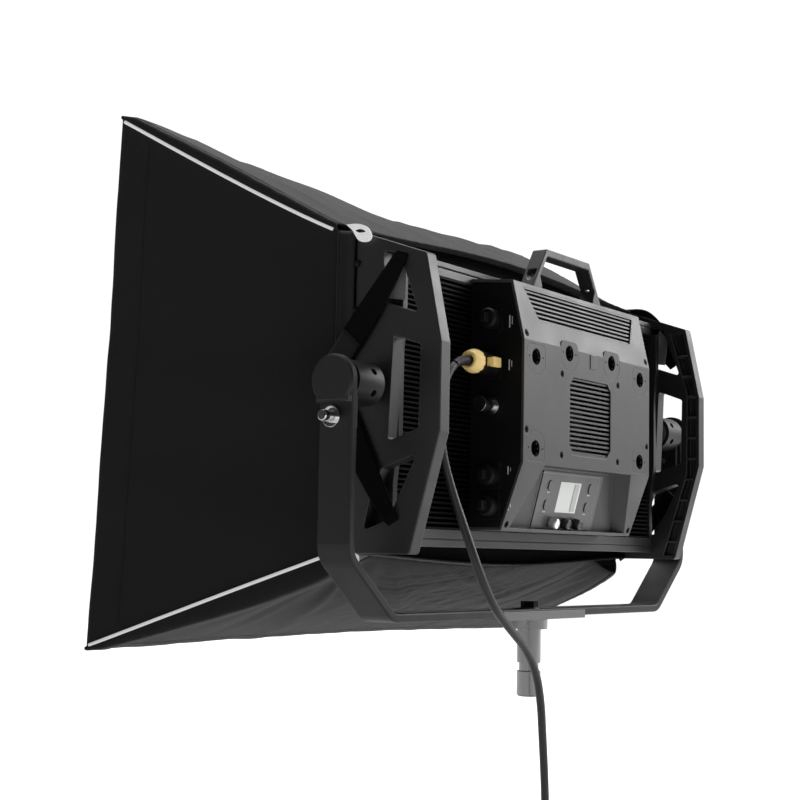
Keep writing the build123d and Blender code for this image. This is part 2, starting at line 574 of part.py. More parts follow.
def make_softbox():
    half, low, high = BOX_REAR
    tall = (Vector(0, *MOUTH_TOP) - Vector(0, *MOUTH_LOW)).length
    side = loft([rear_quad(half - CLOTH, half, low + CLOTH, high - CLOTH),
                 mouth_quad(BOX_MOUTH - CLOTH, BOX_MOUTH, CLOTH, tall - CLOTH)])
    pieces["softbox_sides"] = both_sides(side)
    pieces["softbox_top"] = loft([rear_quad(-half, half, high - CLOTH, high),
                                  mouth_quad(-BOX_MOUTH, BOX_MOUTH, tall - CLOTH, tall)])
    pieces["softbox_bottom"] = loft([rear_quad(-half, half, low, low + CLOTH),
                                     mouth_quad(-BOX_MOUTH, BOX_MOUTH, 0, CLOTH)])
    pieces["softbox_collar"] = box((-half, half), (BOX_REAR_Y, FRONT_Y - 0.5), (low, high)) - \
        box((-322, 322), (-100, 0), (89, 427))
    pieces["softbox_diffuser"] = extrude(mouth_quad(-BOX_MOUTH, BOX_MOUTH, 0, tall), 1.5)
    straps = []
    for high_end, low_end in (((34, 399), (-40, 298)), ((-39, 256), (21, 120))):
        a, b = Vector(*high_end), Vector(*low_end)
        across = (b - a).normalized().rotate(Axis.Z, 90) * 13.5
        corners = [a + across, b + across, b - across, a - across]
        strap = prism([(c.X, c.Y) for c in corners], half, half + 1.6)
        straps += both_sides(strap)
    pieces["softbox_straps"] = straps


# ---------------------------------------------------------------- build and write
make_yoke()
make_yoke_fittings()
for name, s in SIDES:
    pieces["side_frame_" + name] = make_side_frame(s)
make_hubs()
make_chassis()
make_housing()
make_side_covers()
make_controls()
make_inside()
make_handle()
make_connectors()
make_lead()
make_softbox()

os.makedirs("parts", exist_ok=True)
for name, solid in pieces.items():
    shape = Compound(children=list(solid)) if isinstance(solid, list) else solid
    export_step(shape, "parts/" + name + ".step")
print(len(pieces), "nodes")
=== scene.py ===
import json
from math import cos, pi, radians, sin, sqrt

import bmesh
import bpy
from mathutils import Matrix, Vector, noise


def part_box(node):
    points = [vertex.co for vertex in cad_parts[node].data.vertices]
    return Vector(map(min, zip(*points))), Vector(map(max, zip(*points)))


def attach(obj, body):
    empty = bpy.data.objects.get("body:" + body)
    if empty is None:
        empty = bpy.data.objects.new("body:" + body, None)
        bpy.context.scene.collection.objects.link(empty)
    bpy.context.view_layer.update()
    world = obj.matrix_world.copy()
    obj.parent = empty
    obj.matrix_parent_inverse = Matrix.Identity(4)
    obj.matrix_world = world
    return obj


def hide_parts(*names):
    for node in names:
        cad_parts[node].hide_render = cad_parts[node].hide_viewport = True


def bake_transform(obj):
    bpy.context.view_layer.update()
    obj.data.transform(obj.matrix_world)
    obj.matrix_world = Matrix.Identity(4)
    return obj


# The looks of a two-by-one LED panel light in its yoke, with a softbox on its front and its power lead.
# Metres, in the CAD model's frame: +Z up, light leaves along -Y, and the connectors are on +X.
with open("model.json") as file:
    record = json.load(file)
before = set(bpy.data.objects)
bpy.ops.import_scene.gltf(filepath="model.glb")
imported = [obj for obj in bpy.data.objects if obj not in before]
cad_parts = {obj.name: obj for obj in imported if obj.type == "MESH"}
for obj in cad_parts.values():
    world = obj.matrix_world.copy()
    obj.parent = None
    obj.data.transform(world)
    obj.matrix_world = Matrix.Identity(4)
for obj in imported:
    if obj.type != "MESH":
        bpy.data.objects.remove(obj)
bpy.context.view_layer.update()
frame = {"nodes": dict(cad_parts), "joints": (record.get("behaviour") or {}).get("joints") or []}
joints = {joint["name"]: joint for joint in frame["joints"]}

# ---------------------------------------------------------------- sizes
MM = 0.001
PIVOT = Vector(joints["tilt"]["pos_m"])
SIDES = (("right", 1), ("left", -1))             # right is the connector side, +X

REAR_HALF, MOUTH_HALF = 0.327, 0.430             # softbox: half widths at its collar and at its mouth
REAR_Y, REAR_Z = -0.052, (0.084, 0.432)
COLLAR_Y = -0.029
MOUTH_Z = {-1: (-0.305, -0.0205), 1: (-0.279, 0.5620)}   # (y, z) of the mouth's low and high seams
CLOTH = 0.0009
LIP = 0.028                                      # the mouth's hem stands this far past the diffuser
HEM_T = 0.87                                     # where the mouth's hem starts, as a share of a panel's depth
PIPING_R = 1.85 * MM
PIPING_OUT = 2.4 * MM                            # the piping stands this far off its seam
BEZEL_HALF, BEZEL_Z = 0.319, (0.0955, 0.4205)    # half width, and low and high edges, of the front bezel

LEAD_R = 4.75 * MM
LEAD_ROUTE = [                                   # millimetres, as in the CAD model
    (191, 40, 300), (221, 40, 300), (246, 40.5, 285.5), (260, 41, 260), (265, 42, 228), (262, 44, 192),
    (252, 51, 152), (244, 63, 112), (238, 76, 71), (216, 81, 33), (174, 76, 9), (125, 68, -14),
    (88, 61, -43), (66, 55, -79), (53, 50, -118), (43, 47, -158), (36, 45, -200), (33, 44, -243)]
COIL_CENTRE = Vector((-0.028, 0.045, -0.288))
COIL_R = 50.5 * MM
COIL_LAY = 10.6 * MM                             # spacing of the turns in their bundle
PLUG_TOP = Vector((0.027, 0.054, -0.340))


# ---------------------------------------------------------------- mesh helpers
def link(name, mesh, material=None, smooth=True):
    piece = bpy.data.objects.new(name, mesh)
    bpy.context.scene.collection.objects.link(piece)
    if material:
        mesh.materials.append(material)
    if smooth:
        mesh.shade_smooth()
    return piece


def from_bmesh(name, bm, material, smooth=True):
    bmesh.ops.recalc_face_normals(bm, faces=bm.faces)
    mesh = bpy.data.meshes.new(name)
    bm.to_mesh(mesh)
    bm.free()
    return link(name, mesh, material, smooth)


def grid(name, rows, columns, point, material, size=(1.0, 1.0)):
    """A sheet of rows by columns faces. point(a, b) gives its place, and size its UV extent in metres."""
    vertices = [point(i / rows, j / columns) for i in range(rows + 1) for j in range(columns + 1)]
    faces = []
    for i in range(rows):
        for j in range(columns):
            k = i * (columns + 1) + j
            faces.append((k, k + 1, k + columns + 2, k + columns + 1))
    mesh = bpy.data.meshes.new(name)
    mesh.from_pydata([tuple(v) for v in vertices], [], faces)
    uv = mesh.uv_layers.new(name="cut")
    for loop in mesh.loops:
        i, j = divmod(loop.vertex_index, columns + 1)
        uv.data[loop.index].uv = (i / rows * size[0], j / columns * size[1])
    return link(name, mesh, material)


def frames_along(points):
    """(point, side, other side) along a line, turning as little as possible."""
    side = None
    for i, point in enumerate(points):
        before, after = points[max(i - 1, 0)], points[min(i + 1, len(points) - 1)]
        ahead = (after - before).normalized()
        if side is None:
            side = ahead.orthogonal().normalized()
        side = (side - ahead * side.dot(ahead)).normalized()
        yield point, side, ahead.cross(side)


def tube_into(bm, points, radius, sides=12, closed=False):
    """Add a round tube to bm. radius is a number, or a function of the share of the way along."""
    rings = []
    for i, (point, a, b) in enumerate(frames_along(points)):
        r = radius(i / (len(points) - 1)) if callable(radius) else radius
        angles = [2 * pi * k / sides for k in range(sides)]
        rings.append([bm.verts.new(point + (a * cos(t) + b * sin(t)) * r) for t in angles])
    for low, high in zip(rings, rings[1:] + (rings[:1] if closed else [])):
        for k in range(sides):
            bm.faces.new((low[k], low[(k + 1) % sides], high[(k + 1) % sides], high[k]))
    if not closed:
        bm.faces.new(rings[0])
        bm.faces.new(rings[-1])


def tube(name, points, radius, material, sides=12):
    bm = bmesh.new()
    tube_into(bm, points, radius, sides)
    return from_bmesh(name, bm, material)


def lathe_into(bm, place, profile, steps=48, ribs=0, depth=0.0):
    """Turn a profile of (radius, height) points about place's Z. ribs cut the widest stretch."""
    rings = []
    for radius, height in profile:
        ring = []
        for k in range(steps):
            t = 2 * pi * k / steps
            r = radius - (depth if ribs and radius > ribs[0] and k % ribs[1] == 0 else 0.0)
            ring.append(bm.verts.new(place @ Vector((r * cos(t), r * sin(t), height))))
        rings.append(ring)
    for low, high in zip(rings, rings[1:]):
        for k in range(steps):
            bm.faces.new((low[k], low[(k + 1) % steps], high[(k + 1) % steps], high[k]))
    bm.faces.new(rings[0])
    bm.faces.new(rings[-1])


def along_x(x, y, z, s=1):
    """A place whose Z runs along +X (s = 1) or -X (s = -1)."""
    return Matrix.Translation((x, y, z)) @ Matrix.Rotation(s * pi / 2, 4, "Y")


def face_place(point, normal):
    """A place on a rear face: X to the right as seen from behind, Y up the face, Z out of it."""
    normal = Vector(normal).normalized()
    right = Vector((-1, 0, 0))
    up = normal.cross(right)
    turn = Matrix((right, up, normal)).transposed().to_4x4()
    return Matrix.Translation(point) @ turn


def blocks(name, place, rectangles, low, high, material):
    """Small flat blocks on a face, each (u, v, width, height)."""
    bm = bmesh.new()
    for u, v, wide, tall in rectangles:
        corners = [(u - wide / 2, v - tall / 2), (u + wide / 2, v - tall / 2),
                   (u + wide / 2, v + tall / 2), (u - wide / 2, v + tall / 2)]
        rings = [[bm.verts.new(place @ Vector((x, y, z))) for x, y in corners] for z in (low, high)]
        bm.faces.new(rings[0])
        bm.faces.new(rings[1])
        for k in range(4):
            bm.faces.new((rings[0][k], rings[0][(k + 1) % 4], rings[1][(k + 1) % 4], rings[1][k]))
    return from_bmesh(name, bm, material, smooth=False)


# ---------------------------------------------------------------- materials
def node(tree, kind, inputs=None, **settings):
    made = tree.nodes.new(kind)
    for key, value in settings.items():
        setattr(made, key, value)
    for key, value in (inputs or {}).items():
        if isinstance(value, bpy.types.NodeSocket):
            tree.links.new(value, made.inputs[key])
        else:
            made.inputs[key].default_value = value
    return made


def principled(name, rough, metallic=0.0, **inputs):
    material = bpy.data.materials.new(name)
    material.use_nodes = True
    tree = material.node_tree
    shader = next(n for n in tree.nodes if n.type == "BSDF_PRINCIPLED")
    shader.inputs["Roughness"].default_value = rough
    shader.inputs["Metallic"].default_value = metallic
    for key, value in inputs.items():
        shader.inputs[key.replace("_", " ")].default_value = value
    return material, tree, shader


def grey(value):
    """A colour with its alpha, from one grey value or from three."""
    return (*value, 1.0) if hasattr(value, "__len__") else (value, value, value, 1.0)


def mix_colour(tree, share, a, b):
    return node(tree, "ShaderNodeMix", {"Factor": share, 6: a, 7: b}, data_type="RGBA").outputs[2]


def math(tree, operation, a, b=0.0):
    made = node(tree, "ShaderNodeMath", {0: a}, operation=operation)
    if isinstance(b, bpy.types.NodeSocket):
        tree.links.new(b, made.inputs[1])
    else:
        made.inputs[1].default_value = b
    return made.outputs[0]


def hard(name, colour, rough, metallic=0.0, grain=1400.0, bump=0.25, worn=0.12, edge=0.0010, streak=1.0,
         painted_shade_under=None, **inputs):
    """Painted, moulded or anodised surface: fine grain, uneven gloss, softened edges, and lighter edges that
    are partly worn and partly a painted highlight.

    Faces that point rearwards by less than the given limit are coloured black: painted shade for dark
    undersides and slots.
    """
    material, tree, shader = principled(name, rough, metallic, **inputs)
    place = node(tree, "ShaderNodeTexCoord").outputs["Object"]
    stretched = node(tree, "ShaderNodeMapping", {"Vector": place, "Scale": (1.0, streak, streak)}).outputs[0]
    fine = node(tree, "ShaderNodeTexNoise", {"Vector": stretched, "Scale": grain, "Detail": 2.0}).outputs[0]
    patches = node(tree, "ShaderNodeTexNoise", {"Vector": place, "Scale": 22.0, "Detail": 5.0}).outputs[0]
    soft = node(tree, "ShaderNodeBevel", {"Radius": edge}, samples=4).outputs[0]
    flat = node(tree, "ShaderNodeNewGeometry").outputs["Normal"]
    turn = node(tree, "ShaderNodeVectorMath", {0: soft, 1: flat}, operation="DOT_PRODUCT").outputs["Value"]
    # Lighter edges: partly worn finish, partly a painted edge highlight; worn sets how strong both are.
    on_edge = node(tree, "ShaderNodeMapRange", {0: turn, 1: 0.985, 2: 0.85, 3: 0.0, 4: 1.0}).outputs[0]
    rubbed_and_highlit = math(tree, "MULTIPLY", on_edge, math(tree, "MULTIPLY", patches, 1.6 * worn))
    dark = tuple(c * 0.86 for c in grey(colour)[:3])
    base = mix_colour(tree, patches, (*dark, 1.0), grey(colour))
    skin = mix_colour(tree, rubbed_and_highlit, base, grey(0.42))
    # Painted shade: faces that don't point far enough rearwards turn black, standing in for shade in
    # undersides and slots.
    if painted_shade_under is not None:
        facing = node(tree, "ShaderNodeTexCoord").outputs["Normal"]
        rearwards = node(tree, "ShaderNodeSeparateXYZ", {0: facing}).outputs[1]
        limits = {0: rearwards, 1: painted_shade_under, 2: painted_shade_under + 0.1}
        clear_of_painted_shade = node(tree, "ShaderNodeMapRange", limits).outputs[0]
        skin = mix_colour(tree, clear_of_painted_shade, grey(0.003), skin)
    tree.links.new(skin, shader.inputs["Base Color"])
    uneven = node(tree, "ShaderNodeMapRange", {0: patches, 1: 0.3, 2: 0.7, 3: rough - 0.05, 4: rough + 0.06})
    tree.links.new(uneven.outputs[0], shader.inputs["Roughness"])
    rough_skin = node(tree, "ShaderNodeBump", {"Height": fine, "Normal": soft, "Strength": bump,
                                               "Distance": 0.0002})
    tree.links.new(rough_skin.outputs[0], shader.inputs["Normal"])
    return material


def woven(name, colour, pitch=0.7 * MM, bump=0.5, sheen=0.25, rough=0.85, translucent=0.0, worn=0.25,
          gloss=0.3):
    """Plain-woven cloth. Its threads follow the piece's UV, which is in metres along the cut."""
    material, tree, shader = principled(name, rough, Sheen_Weight=sheen, Sheen_Roughness=0.45)
    shader.inputs["Specular IOR Level"].default_value = gloss
    uv = node(tree, "ShaderNodeUVMap").outputs[0]
    scale = 2 * pi / 20 / pitch
    threads = []
    for direction in ("X", "Y"):
        wave = node(tree, "ShaderNodeTexWave", {"Vector": uv, "Scale": scale, "Distortion": 0.6,
                                                "Detail Scale": 0.3},
                    wave_type="BANDS", bands_direction=direction)
        threads.append(wave.outputs["Fac"])
    over = node(tree, "ShaderNodeTexChecker", {"Vector": uv, "Scale": 1.0 / pitch}).outputs["Fac"]
    weave = node(tree, "ShaderNodeMix", {0: over, 2: threads[0], 3: threads[1]}).outputs[0]
    place = node(tree, "ShaderNodeTexCoord").outputs["Object"]
    patches = node(tree, "ShaderNodeTexNoise", {"Vector": place, "Scale": 9.0, "Detail": 6.0,
                                                "Roughness": 0.6}).outputs[0]
    slubs = node(tree, "ShaderNodeTexNoise", {"Vector": place, "Scale": 320.0, "Detail": 2.0}).outputs[0]
    light = tuple(min(1.0, c * (1 + worn) + 0.004 * worn) for c in grey(colour)[:3])
    shade = mix_colour(tree, patches, grey(colour), (*light, 1.0))
    deep = tuple(c * 0.55 for c in grey(colour)[:3])
    shade = mix_colour(tree, weave, (*deep, 1.0), shade)
    tree.links.new(shade, shader.inputs["Base Color"])
    height = math(tree, "ADD", weave, math(tree, "MULTIPLY", slubs, 0.8))
    skin = node(tree, "ShaderNodeBump", {"Height": height, "Strength": bump, "Distance": 0.00025})
    tree.links.new(skin.outputs[0], shader.inputs["Normal"])
    if translucent:
        glow = node(tree, "ShaderNodeBsdfTranslucent", {"Color": grey(colour)})
        both = node(tree, "ShaderNodeMixShader", {0: translucent, 1: shader.outputs[0], 2: glow.outputs[0]})
        out = next(n for n in tree.nodes if n.type == "OUTPUT_MATERIAL")
        tree.links.new(both.outputs[0], out.inputs["Surface"])
    return material


def lit(name, colour, strength):
    material, tree, shader = principled(name, 0.35)
    place = node(tree, "ShaderNodeTexCoord").outputs["Object"]
    cells = node(tree, "ShaderNodeTexNoise", {"Vector": place, "Scale": 500.0}).outputs[0]
    shade = mix_colour(tree, math(tree, "MULTIPLY", cells, 0.08), grey(colour), grey(0.6))
    tree.links.new(shade, shader.inputs["Base Color"])
    tree.links.new(shade, shader.inputs["Emission Color"])
    shader.inputs["Emission Strength"].default_value = strength
    return material


YOKE_PAINT = hard("yoke_paint", 0.007, 0.50, grain=900, bump=0.5, worn=0.35, edge=0.0016,
                  Specular_IOR_Level=0.32)
HUB_BLACK = hard("hub_black", 0.006, 0.52, grain=1100, bump=0.35, worn=0.2, Specular_IOR_Level=0.38)
TILT_HUB_BLACK = hard("tilt_hub_black", 0.0035, 0.6, grain=1100, bump=0.35, worn=0.15,
                      Specular_IOR_Level=0.18)
STEEL = hard("spigot_steel", 0.26, 0.30, 1.0, grain=500, bump=0.12, worn=0.0, streak=0.05)
BOLT_BLACK = hard("bolt_black", 0.0015, 0.6, worn=0.0, edge=0.0003, Specular_IOR_Level=0.08)
BRACKET_GREY = hard("bracket_grey", 0.12, 0.4, worn=0.3)
CHROME = hard("pin_chrome", 0.75, 0.12, 1.0, grain=300, bump=0.03, worn=0.0)
FIBRE = hard("friction_ring", (0.10, 0.08, 0.07), 0.8, grain=600, bump=0.5)
FRAME_BLACK = hard("frame_black", 0.009, 0.46, grain=1000, bump=0.4, worn=0.3, edge=0.0014)
RAIL_BLACK = hard("rail_black", 0.045, 0.38, 0.3, grain=700, bump=0.15, worn=0.25, streak=0.08)
BEZEL_BLACK = hard("bezel_black", 0.002, 0.7, worn=0.0, Specular_IOR_Level=0.1)
FIN_BLACK = hard("fin_black", 0.0015, 0.7, 0.0, grain=700, bump=0.15, worn=0.03, edge=0.0003, streak=0.08,
                 Specular_IOR_Level=0.12)
BARE_ALUMINIUM = hard("end_plate_grey", 0.012, 0.5, 0.2, grain=1200, bump=0.2, worn=0.1)
LED_BOARD = hard("led_board", 0.7, 0.5, grain=300, bump=0.05, worn=0.0)
# Painted shade: the cover's forward-facing faces, and the grilles' and sockets' faces that don't point well
# rearwards, are black.
COVER_GREY = hard("cover_grey", 0.052, 0.47, 0.1, grain=1300, bump=0.3, worn=0.30, edge=0.0012,
                  painted_shade_under=-0.2, Specular_IOR_Level=0.38)
HANDLE_GREY = hard("handle_grey", 0.016, 0.50, grain=1300, bump=0.3, worn=0.3, edge=0.0014)
GRILLE_GREY = hard("grille_grey", 0.050, 0.47, 0.1, grain=1300, bump=0.3, worn=0.2, edge=0.0004,
                   painted_shade_under=0.55, Specular_IOR_Level=0.38)
SIDE_BLACK = hard("side_black", 0.0024, 0.55, grain=1100, bump=0.3, worn=0.12, Specular_IOR_Level=0.22)
PANEL_GREY = hard("panel_grey", 0.070, 0.40, grain=1600, bump=0.15, worn=0.15, edge=0.0005)
KNOB_SILVER = hard("knob_silver", 0.80, 0.34, 0.5, grain=500, bump=0.1, worn=0.0, edge=0.0003)
KNOB_BLACK = hard("knob_black", 0.012, 0.45, worn=0.15, edge=0.0003)
SUPPLY_METAL = hard("supply_metal", 0.02, 0.5, 0.5)
FAN_BLACK = hard("fan_black", 0.005, 0.5)
CONNECTOR_BLACK = hard("connector_black", 0.003, 0.5, grain=1500, bump=0.2, worn=0.05, edge=0.0006,
                       Specular_IOR_Level=0.25)
CAP_RUBBER = hard("cap_rubber", 0.003, 0.58, grain=900, bump=0.3, worn=0.03, edge=0.0008,
                  Specular_IOR_Level=0.3)
ROUND_CHROME = hard("round_chrome", 0.6, 0.2, 1.0, grain=300, bump=0.04, worn=0.0)
# Painted light: the gold collar and latch are given a faint glow.
GOLD = hard("connector_gold", (0.98, 0.72, 0.27), 0.38, grain=1300, bump=0.15, worn=0.08, edge=0.0005,
            Emission_Color=(0.98, 0.72, 0.27, 1.0), Emission_Strength=0.05)
LEAD_RUBBER = hard("lead_rubber", 0.012, 0.48, grain=800, bump=0.2, worn=0.0, edge=0.0002)
PRINT_WHITE = hard("print_white", 0.62, 0.5, grain=900, bump=0.05, worn=0.0, edge=0.0001)
PRINT_GREY = hard("print_grey", 0.30, 0.5, grain=900, bump=0.05, worn=0.0, edge=0.0001)
SCREEN = lit("screen", (0.60, 0.62, 0.60), 0.06)
SCREEN_SHADE = lit("screen_shade", (0.36, 0.38, 0.38), 0.10)
# Painted light and shade: the roof and floor panels use copies of the one black fabric with their own blacks
# and sheen for how light falls on them; the roof's copy is the lighter.
BOX_FABRIC = woven("box_fabric", 0.0065, pitch=0.8 * MM, bump=0.45, sheen=0.10)
TOP_FABRIC = woven("box_fabric_roof", 0.0085, pitch=0.8 * MM, bump=0.45, sheen=0.16)
DIFFUSER = woven("diffuser_fabric", 0.80, pitch=0.6 * MM, bump=0.25, sheen=0.1, rough=0.9, translucent=0.4,
                 worn=0.0)
WEBBING = woven("strap_webbing", 0.0028, pitch=1.6 * MM, bump=0.9, sheen=0.0, gloss=0.08)
UNDER_FABRIC = woven("box_fabric_floor", 0.0069, pitch=0.8 * MM, bump=0.45, sheen=0.09)
PIPING = woven("piping_white", 0.78, pitch=0.5 * MM, bump=0.3, sheen=0.1, rough=0.7, worn=0.0)
# Painted light: the white piping, pull loops and hem tab glow a little.
PIPING.node_tree.nodes["Principled BSDF"].inputs["Emission Color"].default_value = grey(1.0)
PIPING.node_tree.nodes["Principled BSDF"].inputs["Emission Strength"].default_value = 0.35
LINING = woven("lining_silver_grey", 0.16, pitch=0.5 * MM, bump=0.25, sheen=0.2, rough=0.6)
SNAP = hard("snap_black", 0.0015, 0.55, worn=0.0, Specular_IOR_Level=0.2)
THREAD = woven("thread_black", 0.006, pitch=0.3 * MM, bump=0.3, sheen=0.0)
LENS = hard("lens", 0.8, 0.35, grain=400, bump=0.1, worn=0.0, Transmission_Weight=0.6)

DRESS = {
    YOKE_PAINT: ["yoke_frame"], HUB_BLACK: ["yoke_bosses", "pivot_caps"],
    TILT_HUB_BLACK: ["tilt_hubs"],
    STEEL: ["spigot", "pivot_shafts", "spigot_washer"], BOLT_BLACK: ["spigot_bolt", "cover_screws"],
    BRACKET_GREY: ["spigot_plate"], CHROME: ["pull_pin_right", "pull_pin_left", "pin_bushings"],
    FIBRE: ["friction_discs"], FRAME_BLACK: ["side_frame_left", "side_frame_right"],
    RAIL_BLACK: ["top_rail", "bottom_rail"], BEZEL_BLACK: ["front_bezel"], FIN_BLACK: ["heat_sink"],
    BARE_ALUMINIUM: ["end_plates"], LED_BOARD: ["led_boards", "control_board"],
    COVER_GREY: ["rear_cover"], HANDLE_GREY: ["carry_handle"],
    GRILLE_GREY: ["louvre_grille", "centre_grille", "mounting_sockets"],
    SIDE_BLACK: ["side_cover_left", "side_cover_right"],
    PANEL_GREY: ["control_panel", "button_lower_left", "button_lower_right", "button_upper_left",
                 "button_upper_right"],
    SCREEN: ["display_window"], KNOB_SILVER: ["select_knob"], KNOB_BLACK: ["dimmer_knob", "colour_knob"],
    SUPPLY_METAL: ["power_supply"], FAN_BLACK: ["fan_frame", "fan_rotor"],
    CONNECTOR_BLACK: ["power_inlet", "data_connectors", "power_plug", "mains_plug"],
    CAP_RUBBER: ["dust_caps"], ROUND_CHROME: ["round_connector"], GOLD: ["plug_collar", "plug_latch"],
    LENS: ["front_lens"]}


def dress_frame():
    for material, names in DRESS.items():
        for name in names:
            for slot in frame["nodes"][name].material_slots:
                slot.material = material


# ---------------------------------------------------------------- camera and studio
CAMERA_PLACE = (1.6438, 0.9561, 0.0865)
CAMERA_YAW, CAMERA_PITCH, CAMERA_ROLL = radians(54.98), radians(5.63), radians(1.07)
CAMERA_LENS = 70.245
FLOOR_Z = -0.62
DARK_SIDE = (0.90, 0.42, 0.0)                    # the studio is unlit on the connector side


def make_camera():
    camera = bpy.data.objects.new("camera", bpy.data.cameras.new("camera"))
    bpy.context.scene.collection.objects.link(camera)
    camera.data.sensor_width = 36.0
    camera.data.lens = CAMERA_LENS
    camera.data.clip_start, camera.data.clip_end = 0.01, 100.0
    camera.matrix_world = (Matrix.Translation(CAMERA_PLACE) @ Matrix.Rotation(pi - CAMERA_YAW, 4, "Z")
                           @ Matrix.Rotation(pi / 2 + CAMERA_PITCH, 4, "X")
                           @ Matrix.Rotation(CAMERA_ROLL, 4, "Z"))
    bpy.context.scene.camera = camera


def area_light(name, place, towards, size, power):
    light = bpy.data.lights.new(name, "AREA")
    light.shape = "RECTANGLE"
    light.size, light.size_y = size
    light.energy = power
    lamp = bpy.data.objects.new(name, light)
    bpy.context.scene.collection.objects.link(lamp)
    lamp.location = place
    lamp.rotation_mode = "QUATERNION"
    lamp.rotation_quaternion = (Vector(towards) - Vector(place)).to_track_quat("-Z", "Y")


def make_studio():
    bpy.context.scene.view_settings.view_transform = "Standard"
    world = bpy.data.worlds.new("studio")
    bpy.context.scene.world = world
    world.use_nodes = True
    tree = world.node_tree
    out = next(n for n in tree.nodes if n.type == "OUTPUT_WORLD")
    direct = node(tree, "ShaderNodeLightPath").outputs["Is Camera Ray"]
    seen = node(tree, "ShaderNodeBackground", {"Color": grey(1.0), "Strength": 1.05})
    way = node(tree, "ShaderNodeTexCoord").outputs["Generated"]
    along = node(tree, "ShaderNodeVectorMath", {0: way, 1: DARK_SIDE}, operation="DOT_PRODUCT")
    power = node(tree, "ShaderNodeMapRange",
                 {0: along.outputs["Value"], 1: -0.75, 2: 0.45, 3: 0.55, 4: 0.035}).outputs[0]
    around = node(tree, "ShaderNodeBackground", {"Color": grey(1.0), "Strength": power})
    both = node(tree, "ShaderNodeMixShader", {0: direct, 1: around.outputs[0], 2: seen.outputs[0]})
    tree.links.new(both.outputs[0], out.inputs["Surface"])

    white, tree, shader = principled("floor_white", 0.9)
    place = node(tree, "ShaderNodeTexCoord").outputs["Object"]
    dust = node(tree, "ShaderNodeTexNoise", {"Vector": place, "Scale": 2.0}).outputs[0]
    tree.links.new(mix_colour(tree, dust, grey(0.72), grey(0.76)), shader.inputs["Base Color"])
    far = node(tree, "ShaderNodeVectorMath", {0: place}, operation="LENGTH").outputs["Value"]
    glow = node(tree, "ShaderNodeMapRange", {0: far, 1: 1.0, 2: 3.0, 3: 0.10, 4: 1.2}).outputs[0]
    shader.inputs["Emission Color"].default_value = grey(1.0)
    tree.links.new(glow, shader.inputs["Emission Strength"])
    bm = bmesh.new()
    bmesh.ops.create_circle(bm, cap_ends=True, segments=96, radius=14.0,
                            matrix=Matrix.Translation((0, 0, FLOOR_Z)))
    from_bmesh("floor", bm, white)

    area_light("key_above_rear", (-2.3, 1.5, 1.7), (0, 0, 0.25), (2.0, 1.6), 80)
    area_light("top_soft", (-0.6, -0.3, 2.7), (0, -0.1, 0.3), (2.4, 1.6), 60)
    area_light("backdrop_glow", (-2.6, 1.0, 0.3), (0, 0, 0.25), (2.0, 1.2), 3)


# ---------------------------------------------------------------- power lead
def coil_route():
    """The put-away turns: each lies in its own place of a seven-strand bundle."""
    lay = COIL_LAY
    rise = lay * sqrt(3) / 2
    places = [(lay, 0), (lay / 2, -rise), (-lay / 2, -rise), (-lay, 0), (0, 0), (-lay / 2, rise),
              (lay / 2, rise)]
    per_turn = 16
    route = []
    for i in range(len(places) * per_turn + 1):
        turn, share = divmod(i / per_turn, 1.0)
        here = Vector(places[min(int(turn), len(places) - 1)])
        after = Vector(places[min(int(turn) + 1, len(places) - 1)])
        step = min(max((share - 0.72) / 0.26, 0.0), 1.0)
        spot = here.lerp(after, step * step * (3 - 2 * step))
        angle = -2 * pi * i / per_turn
        r = COIL_R + spot.x
        route.append(COIL_CENTRE + Vector((r * cos(angle), spot.y, r * sin(angle))))
    return route


def lead_points():
    """The lead's centreline, read from its NURBS spline."""
    route = [Vector(p) * MM for p in LEAD_ROUTE] + coil_route()
    last = route[-1]
    for share in (0.35, 0.7, 1.0):
        route.append(last.lerp(PLUG_TOP, share))
    curve = bpy.data.curves.new("lead_line", "CURVE")
    curve.dimensions = "3D"
    curve.resolution_u = 8
    spline = curve.splines.new("NURBS")
    spline.points.add(len(route) - 1)
    for spot, point in zip(spline.points, route):
        spot.co = (*point, 1.0)
    spline.order_u = 3
    spline.use_endpoint_u = True
    line = bpy.data.objects.new("lead_line", curve)
    bpy.context.scene.collection.objects.link(line)
    mesh = bpy.data.meshes.new_from_object(line)
    points = [v.co.copy() for v in mesh.vertices]
    bpy.data.objects.remove(line)
    bpy.data.meshes.remove(mesh)
    return points


